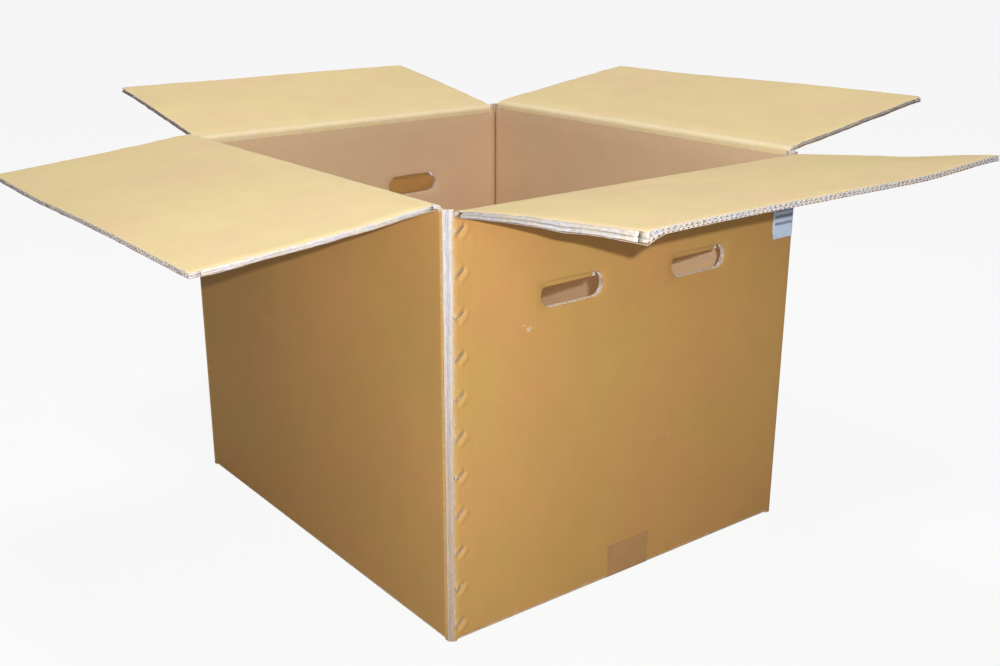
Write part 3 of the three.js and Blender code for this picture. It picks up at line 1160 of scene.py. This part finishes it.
class BOX_OT_floor(bpy.types.Operator):
    """Lays the four bottom flaps: the front and back pair over the left and right pair"""

    bl_idname = "box.floor"
    bl_label = "Bottom flaps"

    def execute(self, context):
        board = context.scene.board_sizes
        size = context.scene.box_sizes
        outer, inner, plies = Sheet(), Sheet(), Sheet()
        for panel in box_panels().values():
            half = panel.half - size.inset
            columns = spread(-half, half, SHEET_STEP, RIM_STEPS)
            self.lay_outside(outer, panel, columns, size, board)
            self.lay_inside(inner, panel, columns, size, board)
            self.lay_plies(plies, panel, half, size)
        piece = outer.object("floor_outer_liner", ["brown liner", "pulp"], board.paper, 1)
        ride_and_stand_for(piece, "box", "box_body")
        # The floor's inner liner takes the shaded straw liner: straw paper painted darker and redder as
        # the shade inside the box
        piece = inner.object("floor_inner_liner", ["tan liner", "pulp"], board.paper, 1)
        ride_and_stand_for(piece, "box", "box_body", slot="kraft_inside")
        piece = plies.object("floor_flutes", ["pulp"], board.paper)
        ride_and_stand_for(piece, "box", "box_body")
        return {"FINISHED"}

    def lay_outside(self, sheet, panel, columns, size, board):
        """From the wall round the fold and in under the box"""
        r, half_paper = size.crease, board.paper / 2
        low = 0.0 if panel.major else size.board + size.gap
        tip = panel.reach - size.flap
        path = []
        for i in range(90 // ARC_STEP + 1):
            turn = math.radians(ARC_STEP * i)
            x = panel.reach - r + (r - half_paper) * math.cos(turn)
            z = r - (r - half_paper) * math.sin(turn)
            path.append((x, z, 0.9))
        start = panel.reach - r
        if not panel.major:
            heel = panel.reach - size.inset + size.gap
            path += [(heel + 0.0006, half_paper, 0.9), (heel, half_paper + 0.0006, 0.9)]
            path += [(heel, low - 0.001, 0.6), (heel - 0.001, low + half_paper, 0.5)]
            start = heel - 0.001
        for x in spread(tip, start, SHEET_STEP, RIM_STEPS)[::-1][1:]:
            path.append((x, low + half_paper, close(x - tip, 0.005)))

        def place(w, step):
            x, z, wear = step
            away = panel.half - size.inset - abs(w)
            point = panel.place(x, w, z)
            if panel.major and x < panel.reach - r:
                point.z += 0.0006 * close(abs(point.x) - 0.038, 0.006)
            if x < tip + 0.004:
                point += panel.place(ROUGH * drift(101, w, 0.006), 0, 0)
            wear = max(wear, 0.8 * close(away, 0.005))
            return point, Vector((panel.start + w, -(panel.reach - x), wear))

        sheet.lay(columns, path[::-1], place)

    def lay_inside(self, sheet, panel, columns, size, board):
        """The face seen from inside, from the fold to the tip"""
        high = size.board if panel.major else 2 * size.board + size.gap
        tip = panel.reach - size.flap
        path = spread(tip, panel.reach - size.board, SHEET_STEP, RIM_STEPS)

        def place(w, x):
            away = panel.half - size.inset - abs(w)
            rough = 0.0006 * drift(103, w, 0.006) * close(x - tip, 0.004)
            lift = 0.0008 * ripple(33, x, w, 0.15) * ease((x - tip) / 0.05) * ease(away / 0.05)
            fold = 0.0005 * close(panel.reach - size.board - x, 0.012)
            shut = 0.0012 * close(away, 0.006)
            point = panel.place(x + rough, w, high - board.paper / 2 + lift - fold - shut)
            folded = 0.6 * close(panel.reach - size.board - x, 0.01)
            wear = max(0.8 * close(away, 0.005), close(x - tip, 0.005), folded)
            return point, Vector((panel.start + w, -(panel.reach - x), wear))

        sheet.lay(columns, path[::-1], place)

    def lay_plies(self, sheet, panel, half, size):
        """Flute ends along the tip and layers along the two slot edges"""
        low = 0.0 if panel.major else size.board + size.gap
        tip = panel.reach - size.flap

        def depth_at(kind, w):
            away = half - abs(w)
            return ply_depth(kind, panel.start + w) * (1 - 0.16 * close(away, 0.006))

        for kind in PLIES:

            def ends(w, back):
                x = tip + back + 0.0005 * drift(105, w, 0.005)
                across = panel.start + w
                return panel.place(x, w, low + depth_at(kind, w)), Vector((across, back, 1.0))

            sheet.lay(waves(-half + 0.001, half - 0.001, kind), [0.0004, 0.0008, 0.012], ends)
            for side in (-1, 1):

                def edges(step, x):
                    w = side * (half - step)
                    across = panel.start + w
                    return panel.place(x, w, low + depth_at(kind, w)), Vector((across, x, 1.0))

                steps = waves(0.0004, 0.012, kind)
                rows = spread(tip + 0.013, panel.reach - size.inset, 0.03)
                sheet.lay(steps, rows, edges)


class FlapShape:
    """How the plies of an open top flap lie: crushed at its cut edges and its fold"""

    def __init__(self, panel):
        size = bpy.context.scene.box_sizes
        self.panel = panel
        self.half = panel.half - size.inset
        self.depth = size.flap
        self.board = size.board
        self.seed = panel.seed

    def edge(self, side, u, ply):
        """How far a ply's slot edge stands back from the cut"""
        ragged = drift(self.seed * 11 + side * 3 + ply, u, 0.016)
        fine = drift(self.seed * 13 + side + ply, u, 0.004)
        return 0.0007 + 0.0012 * ragged + 0.0005 * fine

    def tip(self, w, ply):
        """How far a ply's outer edge stands back from the cut"""
        ragged = drift(self.seed * 17 + ply, w, 0.02)
        fine = drift(self.seed * 19 + ply, w, 0.003)
        return 0.0006 + 0.0007 * ragged + 0.0007 * fine

    def bow(self, u, w):
        """The whole board out of flat: the left and right flaps bow towards their outer face, the front
        and back flaps towards their inner face. The whole board out of flat: the lower pair and the
        upper pair part when shut
        """
        away = ease(u / 0.10)
        rise = 0.003 * away * (0.35 + ripple(self.seed + 60, u, w, 0.30))
        rise = -max(rise, 0.0) if self.panel.major else max(rise, 0.0)
        if self.panel.name == "front":
            rise += 0.007 * ease((w - 0.12) / 0.17) * ease((u - 0.16) / 0.14)
        return rise

    def hang(self, u, w):
        """How far the outer plies sag under the inner liner at a slot edge"""
        near_left = self.half + w if self.panel.name == "front" else 1.0
        own = self.half - abs(w)
        swell = 0.0006 + 0.0010 * drift(self.seed * 23, u, 0.05)
        sag = swell * close(own, 0.010)
        if near_left < 0.03:
            wave = 0.55 + 0.45 * math.sin(u * 46 + 0.6) + 0.5 * drift(77, u, 0.03)
            growth = 0.0010 + 0.0042 * ease(u / 0.26) * (0.7 + 0.5 * wave)
            sag += growth * close(near_left, 0.024)
        return sag

    def squeeze(self, u, w):
        """The board's thickness there, as a share of the whole"""
        own = self.half - abs(w)
        side = 0.16 * close(own, 0.007) * (1 + 0.7 * drift(self.seed * 29, u, 0.03))
        fold = 0.17 * close(u - self.board, 0.017)
        outer = 0.10 * close(self.depth - u, 0.006) * (1 + 0.8 * drift(self.seed * 31, w, 0.04))
        return 1 - side - fold - outer

    def at(self, u, w, v):
        share = v / self.board
        lift = v * self.squeeze(u, w) - self.hang(u, w) * (1 - share)
        return self.panel.flap(u, w, lift + self.bow(u, w))


class BOX_OT_top_flaps(bpy.types.Operator):
    """Builds the four open top flaps with their liners and flutes"""

    bl_idname = "box.top_flaps"
    bl_label = "Top flaps"

    def execute(self, context):
        for panel in box_panels().values():
            self.build(context, panel, FlapShape(panel))
        return {"FINISHED"}

    def build(self, context, panel, shape):
        size, board = context.scene.box_sizes, context.scene.board_sizes
        half, depth = shape.half, shape.depth
        node, body = f"top_flap_{panel.name}", f"flap_{panel.name}"
        columns = spread(-half, half, 0.0135, (0.0006, 0.0018, 0.004, 0.0075, 0.012))
        fine = (0.0006, 0.0018, 0.004, 0.0075)

        def liner(level, ply):
            def place(w, u):
                pulled = ease((abs(w) - half + 0.012) / 0.012)
                side = 1 if w > 0 else -1
                w_moved = w - side * pulled * shape.edge(side, u, ply)
                near_tip = close(depth - u, 0.008)
                u_moved = u - near_tip * shape.tip(w, ply)
                wear = max(close(half - abs(w), 0.0035), close(depth - u, 0.003))
                fold = 0.7 * close(u - size.board, 0.008)
                point = shape.at(u_moved, w_moved, level)
                return point, Vector((panel.start + w, size.score + u, max(wear, fold)))

            return place

        inner = Sheet()
        rows = spread(size.board, depth, 0.0055, fine)
        inner.lay(columns, rows, liner(size.board - board.paper / 2, 1), flip=True)
        piece = inner.object(f"{node}_inner_liner", ["straw liner", "pulp"], board.paper, 1)
        ride_and_stand_for(piece, body, node, slot="kraft_inside")

        outer = Sheet()
        rows = spread(0.003, depth, 0.0055, fine)
        outer.lay(columns, rows, liner(board.paper / 2, 2))
        piece = outer.object(f"{node}_outer_liner", ["brown liner", "pulp"], board.paper, 1)
        ride_and_stand_for(piece, body, node, slot="kraft_inside")

        plies = Sheet()
        for number, kind in enumerate(PLIES):
            self.lay_ply(plies, panel, shape, kind, number + 3)
        piece = plies.object(f"{node}_flutes", ["pulp"], board.paper)
        ride_and_stand_for(piece, body, node, slot="kraft_inside")

    def lay_ply(self, sheet, panel, shape, kind, ply):
        half, depth = shape.half, shape.depth

        def tip(w, back):
            u = depth - back - shape.tip(w, ply) * close(back, 0.010)
            across = panel.start + w
            side = 1 if w > 0 else -1
            w -= side * ease((abs(w) - half + 0.010) / 0.010) * shape.edge(side, u, ply)
            point = shape.at(u, w, ply_depth(kind, across))
            return point, Vector((across, u, 1.0))

        rows = [0.014, 0.005, 0.0006, 0.0002]
        sheet.lay(waves(-half + 0.0006, half - 0.0006, kind), rows, tip)
        for side in (-1, 1):

            def slot(step, u):
                back = shape.edge(side, u, ply) * close(step, 0.010)
                w = side * (half - step - back)
                across = panel.start + side * (half - step)
                point = shape.at(u, w, ply_depth(kind, across))
                return point, Vector((across, u, 1.0))

            sheet.lay(waves(0.0002, 0.013, kind), spread(0.0072, depth - 0.0138, 0.006), slot)


class BOX_OT_folds(bpy.types.Operator):
    """Makes the folds that join each top flap to its wall"""

    bl_idname = "box.folds"
    bl_label = "Folds of the top flaps"

    def execute(self, context):
        for panel in box_panels().values():
            self.inner_fold(context, panel)
            self.outer_fold(context, panel)
        return {"FINISHED"}

    def blend(self, piece, panel, start, end, slot):
        a = panel.place(panel.reach - start[0], 0, panel.score + start[1])
        b = panel.place(panel.reach - end[0], 0, panel.score + end[1])
        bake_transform(piece)
        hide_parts("box_body", f"top_flap_{panel.name}")

    def inner_fold(self, context, panel):
        """Straw liner rolled over the crushed score"""
        size, board = context.scene.box_sizes, context.scene.board_sizes
        half_paper = board.paper / 2
        shape = FlapShape(panel)
        level = size.board - half_paper
        press = 0.0012
        low = Vector((level - press, -size.board))
        flap_v = level * (1 - 0.17)
        c, s = math.cos(panel.angle), math.sin(panel.angle)
        u = size.board
        high = Vector((-(u * c - flap_v * s), u * s + flap_v * c))
        line = high - low
        square = Vector((line.y, -line.x)).normalized()
        if square.dot(Vector((1, 1))) < 0:
            square = -square
        path = []
        for i in range(17):
            t = i / 16
            weight = ease(t)
            point = low + line * t
            a = (t - 0.5) * line.length
            turn = math.pi * (weight - 0.5)
            b = a / math.tan(turn) if abs(turn) > 1e-4 else line.length / (1.5 * math.pi)
            offset = point.dot(square)
            mixed = b * (1 - (2 * t - 1) ** 8) + offset * (2 * t - 1) ** 8
            point = point + square * (mixed - offset)
            path.append((point, t))
        half = shape.half - 0.0006
        columns = spread(-half, half, SHEET_STEP, FOLD_STEPS)

        def place(w, step):
            point, t = step
            soft = 0.0005 * drift(110, w, 0.03) * math.sin(math.pi * t)
            inward, up = point + square * soft
            bend = shape.bow(u, w) * t
            spot = panel.place(panel.reach - inward, w, panel.score + up + bend)
            wear = 0.55 + 0.25 * math.sin(math.pi * t)
            return spot, Vector((panel.start + w, size.score + 0.02 * t, wear))

        sheet = Sheet()
        sheet.lay(columns, path, place, flip=True)
        for side in (-1, 1):

            def end(step, share):
                point, t = step
                low_side = Vector((half_paper, -0.0055 * (1 - 2 * t)))
                high_side = Vector((-0.0055 * (2 * t - 1), half_paper))
                outer = low_side if t < 0.5 else high_side
                inward, up = outer.lerp(point, 0.04 + 0.92 * share)
                w = side * (half - 0.0004 + 0.0005 * drift(112, share * 3 + t, 0.4))
                spot = panel.place(panel.reach - inward, w, panel.score + up)
                return spot, Vector((0.01 * share, 0.02 * t, 1.0))

            sheet.lay(path, [0.0, 0.25, 0.5, 0.75, 1.0], end, material=1, flip=side > 0)
        name = f"fold_{panel.name}_inner_liner"
        piece = sheet.object(name, ["straw liner", "pulp", "pulp"], board.paper, 1)
        self.blend(piece, panel, low, high, "kraft_inside")

    def outer_fold(self, context, panel):
        """Brown liner across the outside of the score"""
        size, board = context.scene.box_sizes, context.scene.board_sizes
        half_paper = board.paper / 2
        shape = FlapShape(panel)
        reach = 0.003
        low = Vector((half_paper, -reach))
        c, s = math.cos(panel.angle), math.sin(panel.angle)
        high = Vector((-(reach * c - half_paper * s), reach * s + half_paper * c))
        knee = Vector((half_paper, half_paper))
        path = [(low.lerp(knee, i / 5), i / 12) for i in range(5)]
        path += [(knee, 0.5)]
        path += [(knee.lerp(high, i / 5), 0.5 + i / 10) for i in range(1, 6)]
        half = shape.half - 0.0004
        columns = spread(-half, half, SHEET_STEP, FOLD_STEPS)

        def place(w, step):
            point, t = step
            inward, up = point
            sag = shape.hang(reach, w) * ease((t - 0.5) * 2)
            spot = panel.place(panel.reach - inward, w, panel.score + up - sag)
            return spot, Vector((panel.start + w, size.score + 0.006 * t, 0.5))

        sheet = Sheet()
        sheet.lay(columns, path, place)
        name = f"fold_{panel.name}_outer_liner"
        piece = sheet.object(name, ["brown liner", "pulp"], board.paper, 1)
        self.blend(piece, panel, low, high, "kraft_outside")


class BOX_OT_stitches(bpy.types.Operator):
    """Bends the flat wire stitches through the front panel and the tab"""

    bl_idname = "box.stitches"
    bl_label = "Wire stitches"

    def execute(self, context):
        size, joint = context.scene.box_sizes, context.scene.joint_sizes
        bm = bmesh.new()
        half, gauge = joint.crown / 2, joint.gauge
        back = 2 * size.board + 2 * size.gap + gauge / 2
        front = joint.sink * 0.75
        turn = Matrix.Rotation(-joint.slant, 4, "Y")
        for i, (x, z) in enumerate(stitch_places()):
            tilt = Matrix.Rotation(math.radians(3) * drift(120, i, 0.7), 4, "Y")
            path = self.path(half - gauge / 2, front, back)
            steps = len(path) - 1
            made = bmesh.ops.create_grid(bm, x_segments=steps, y_segments=1, size=0.5)
            ring = made["verts"]
            for vert in ring:
                a, b = path[round((vert.co.x + 0.5) * steps)]
                side = joint.wire / 2 * (1 if vert.co.y > 0 else -1)
                vert.co = (a, b, side)
            move = Matrix.Translation((x, -size.length / 2, z)) @ turn @ tilt
            bmesh.ops.transform(bm, matrix=move, verts=ring)
        for face in bm.faces:
            face.smooth = True
        piece = make_piece(bm, "stitches", ["stitching wire"])
        shell = piece.modifiers.new("Gauge", "SOLIDIFY")
        shell.thickness = gauge
        shell.offset = 0
        soften(piece, gauge * 0.3, 60)
        ride_and_stand_for(piece, "box", *STITCHES, slot="stitch_wire")
        return {"FINISHED"}

    def path(self, half, front, back):
        """Middle line of a stitch: clinch, leg, crown, leg, clinch, with round bends"""
        clinch = bpy.context.scene.joint_sizes.clinch
        r = 0.0008
        corners = [
            (-half + clinch, back + 0.0003),
            (-half, back),
            (-half, front),
            (half, front),
            (half, back),
            (half - clinch, back + 0.0003),
        ]
        path = [Vector(corners[0])]
        for before, here, after in zip(corners, corners[1:], corners[2:]):
            before, here, after = Vector(before), Vector(here), Vector(after)
            a = here + (before - here).normalized() * r
            b = here + (after - here).normalized() * r
            early = a.lerp(here, 0.6).lerp(here.lerp(b, 0.4), 0.3)
            path += [a, early, here.lerp((a + b) / 2, 0.3), b]
        path.append(Vector(corners[-1]))
        middle = len(path) // 2
        path.insert(middle, Vector((0, front + 0.0002)))
        return path


class BOX_OT_bottom_tape(bpy.types.Operator):
    """Lays the brown tape along the bottom seam and up the front and the back panel"""

    bl_idname = "box.bottom_tape"
    bl_label = "Bottom tape"

    def execute(self, context):
        size, trim = context.scene.box_sizes, context.scene.trim_sizes
        half = size.length / 2
        off, r = 0.0003, size.crease
        path = []
        for z in spread(r, trim.rise, 0.004, (0.0006,))[::-1]:
            path.append((-half - off, z))
        for i in range(1, 90 // ARC_STEP):
            turn = math.radians(ARC_STEP * i)
            y, z = (r - (r + off) * reach for reach in (math.cos(turn), math.sin(turn)))
            path.append((-half + y, z))
        under = 0.00008
        path += [(y, under) for y in spread(-half + r, half - r, SHEET_STEP)]
        path += [(-y, z) for y, z in path[: len(path) // 2][::-1] if y < -half + r - 1e-6]
        columns = spread(-trim.tape / 2, trim.tape / 2, 0.0033, (0.0005, 0.0015))

        def place(x, step):
            y, z = step
            end = max(z - trim.rise + 0.004, 0) / 0.004
            teeth = 0.0011 * abs(((x / 0.0032) % 1) * 2 - 1) + 0.001 * drift(130, x, 0.02)
            lift = 0.0
            if abs(y) > half:
                lift = 0.00045 * max(ripple(35, x, z, 0.012), 0.0)
                corner = close(trim.tape / 2 - abs(x), 0.010) * close(trim.rise - z, 0.012)
                lift += 0.0016 * corner * (1 if x > 0 else 0.5)
                y += math.copysign(lift, y)
            point = Vector((x, y, max(z - end * teeth, under)))
            edge = close(trim.tape / 2 - abs(x), 0.002)
            return point, Vector((x, z + y, edge))

        sheet = Sheet()
        sheet.lay(columns, path, place, flip=True)
        piece = sheet.object("bottom_tape_film", ["tape film"], trim.film)
        ride_and_stand_for(piece, "box", "bottom_tape", slot="tape_film")
        return {"FINISHED"}


class BOX_OT_corner_label(bpy.types.Operator):
    """Wraps the paper label round the right front corner"""

    bl_idname = "box.corner_label"
    bl_label = "Corner label"

    def execute(self, context):
        size, trim = context.scene.box_sizes, context.scene.trim_sizes
        r, off = size.crease, 0.00035
        across, half = size.width / 2, size.length / 2
        step, rim = 0.004, (0.0005,)
        front = spread(across - trim.label_front, across - r, step, rim)
        path = [(x, -half - off) for x in front]
        for i in range(1, 90 // ARC_STEP + 1):
            turn = math.radians(ARC_STEP * i - 90)
            x, y = (r + (r + off) * reach for reach in (math.cos(turn), math.sin(turn)))
            path.append((across - 2 * r + x, -half + y))
        side = spread(-half + r, -half + trim.label_side, step, rim)
        path += [(across + off, y) for y in side[1:]]
        top = size.score - trim.label_drop
        rows = spread(top - trim.label_height, top, step, rim)
        lengths = [0.0]
        for a, b in zip(path, path[1:]):
            lengths.append(lengths[-1] + (Vector(b) - Vector(a)).length)
        columns = list(zip(path, lengths))

        def place(column, z):
            (x, y), run = column
            wrinkle = 0.0005 * max(ripple(37, run, z, 0.018), 0.0)
            curl = close(run, 0.012) * close(z - rows[0], 0.014) * 0.0025
            point = Vector((x, y, z))
            if y < -half:
                point.y -= wrinkle + curl
            elif x > across:
                point.x += wrinkle
            return point, Vector((run, z - rows[0], 0.0))

        sheet = Sheet()
        sheet.lay(columns, rows, place)
        piece = sheet.object("corner_label_paper", ["label paper"], 0.00016)
        ride_and_stand_for(piece, "box", "corner_label", slot="label_paper")
        return {"FINISHED"}


class BOX_OT_stage(bpy.types.Operator):
    """Sets up the pale floor, the soft lamps and the camera"""

    bl_idname = "box.stage"
    bl_label = "Floor, light and camera"

    def execute(self, context):
        scene = context.scene
        scene.view_settings.view_transform = "Standard"
        self.lay_floor()
        self.light(scene)
        self.camera(scene)
        return {"FINISHED"}

    def lay_floor(self):
        bm = bmesh.new()
        bmesh.ops.create_grid(bm, x_segments=1, y_segments=1, size=30)
        floor = make_piece(bm, "floor", ())
        f = Finish("pale floor")
        paper = f.add("ShaderNodeBsdfDiffuse", None, {"Color": (FLOOR_TONE, FLOOR_TONE, FLOOR_TONE, 1)})
        white = f.add("ShaderNodeEmission", None, {"Strength": 1.0})
        rays = f.add("ShaderNodeLightPath", output="Is Camera Ray")
        lit = f.add("ShaderNodeMixShader", None, {0: rays * FLOOR_WHITE, 1: paper, 2: white})
        under = f.add("ShaderNodeNewGeometry", output="Backfacing")
        clear = f.add("ShaderNodeBsdfTransparent")
        both = f.add("ShaderNodeMixShader", None, {0: under, 1: lit, 2: clear})
        f.add("ShaderNodeOutputMaterial", None, {"Surface": both})
        floor.data.materials.append(f.material)

    def light(self, scene):
        world = bpy.data.worlds.new("soft room")
        scene.world = world
        world.use_nodes = True
        nodes, links = world.node_tree.nodes, world.node_tree.links
        nodes.clear()
        rays = nodes.new("ShaderNodeLightPath")
        room = nodes.new("ShaderNodeBackground")
        room.inputs["Color"].default_value = (1.0, 1.0, 1.0, 1)
        room.inputs["Strength"].default_value = ROOM_LIGHT
        white = nodes.new("ShaderNodeBackground")
        white.inputs["Strength"].default_value = 1.0
        either = nodes.new("ShaderNodeMixShader")
        output = nodes.new("ShaderNodeOutputWorld")
        links.new(rays.outputs["Is Camera Ray"], either.inputs[0])
        links.new(room.outputs[0], either.inputs[1])
        links.new(white.outputs[0], either.inputs[2])
        links.new(either.outputs[0], output.inputs["Surface"])
        for name, at, towards, width, power in LAMPS:
            self.lamp(scene, name, at, towards, width, power)

    def lamp(self, scene, name, at, towards, width, power):
        data = bpy.data.lights.new(name, "AREA")
        data.shape = "DISK"
        data.size = width
        data.energy = power
        lamp = bpy.data.objects.new(name, data)
        lamp.location = at
        lamp.rotation_euler = (Vector(towards) - Vector(at)).to_track_quat("-Z", "Y").to_euler()
        lamp.visible_camera = False
        scene.collection.objects.link(lamp)

    def camera(self, scene):
        """Stands where the photo's camera stood, as it was fitted to the box's corners"""
        yaw, pitch, roll = (math.radians(a) for a in CAMERA_TURN)
        ahead = Vector(
            (math.cos(pitch) * math.sin(yaw), math.cos(pitch) * math.cos(yaw), -math.sin(pitch))
        )
        right = ahead.cross(Vector((0, 0, 1))).normalized()
        up = right.cross(ahead)
        across = math.cos(roll) * right + math.sin(roll) * up
        upright = math.cos(roll) * up - math.sin(roll) * right
        data = bpy.data.cameras.new("camera")
        data.lens = FOCAL_LENGTH * data.sensor_width
        data.shift_x = CAMERA_SHIFT
        data.clip_end = 100
        camera = bpy.data.objects.new("camera", data)
        turn = Matrix((across, upright, -ahead)).transposed()
        camera.matrix_world = Matrix.Translation(CAMERA_PLACE) @ turn.to_4x4()
        scene.collection.objects.link(camera)
        scene.camera = camera


OPERATORS = (
    BOX_OT_outer_walls,
    BOX_OT_inner_walls,
    BOX_OT_wall_plies,
    BOX_OT_tongues,
    BOX_OT_torn_edge,
    BOX_OT_floor,
    BOX_OT_top_flaps,
    BOX_OT_folds,
    BOX_OT_stitches,
    BOX_OT_bottom_tape,
    BOX_OT_corner_label,
    BOX_OT_stage,
)
GROUPS = {
    "box_sizes": BoxSizes,
    "board_sizes": BoardSizes,
    "joint_sizes": JointSizes,
    "trim_sizes": TrimSizes,
    "box_colours": BoxColours,
}


class BOX_PT_panel(bpy.types.Panel):
    """Sizes, colours and the pieces of the box"""

    bl_idname = "BOX_PT_panel"
    bl_label = "Corrugated box"
    bl_space_type = "VIEW_3D"
    bl_region_type = "UI"
    bl_category = "Box"

    def draw(self, context):
        for name in GROUPS:
            group = getattr(context.scene, name)
            column = self.layout.box().column()
            for key in group.bl_rna.properties.keys():
                if key not in ("rna_type", "name"):
                    column.prop(group, key)
        for operator in OPERATORS:
            self.layout.operator(operator.bl_idname)


def register():
    for kind in (*GROUPS.values(), *OPERATORS, BOX_PT_panel):
        bpy.utils.register_class(kind)
    for name, group in GROUPS.items():
        setattr(bpy.types.Scene, name, bpy.props.PointerProperty(type=group))


def unregister():
    for name in GROUPS:
        delattr(bpy.types.Scene, name)
    for kind in reversed((*GROUPS.values(), *OPERATORS, BOX_PT_panel)):
        bpy.utils.unregister_class(kind)


def main():
    register()
    bpy.ops.box.outer_walls()
    bpy.ops.box.inner_walls()
    bpy.ops.box.wall_plies()
    bpy.ops.box.tongues()
    bpy.ops.box.torn_edge()
    bpy.ops.box.floor()
    bpy.ops.box.top_flaps()
    bpy.ops.box.folds()
    bpy.ops.box.stitches()
    bpy.ops.box.bottom_tape()
    bpy.ops.box.corner_label()
    bpy.ops.box.stage()


if __name__ == "__main__":
    main()
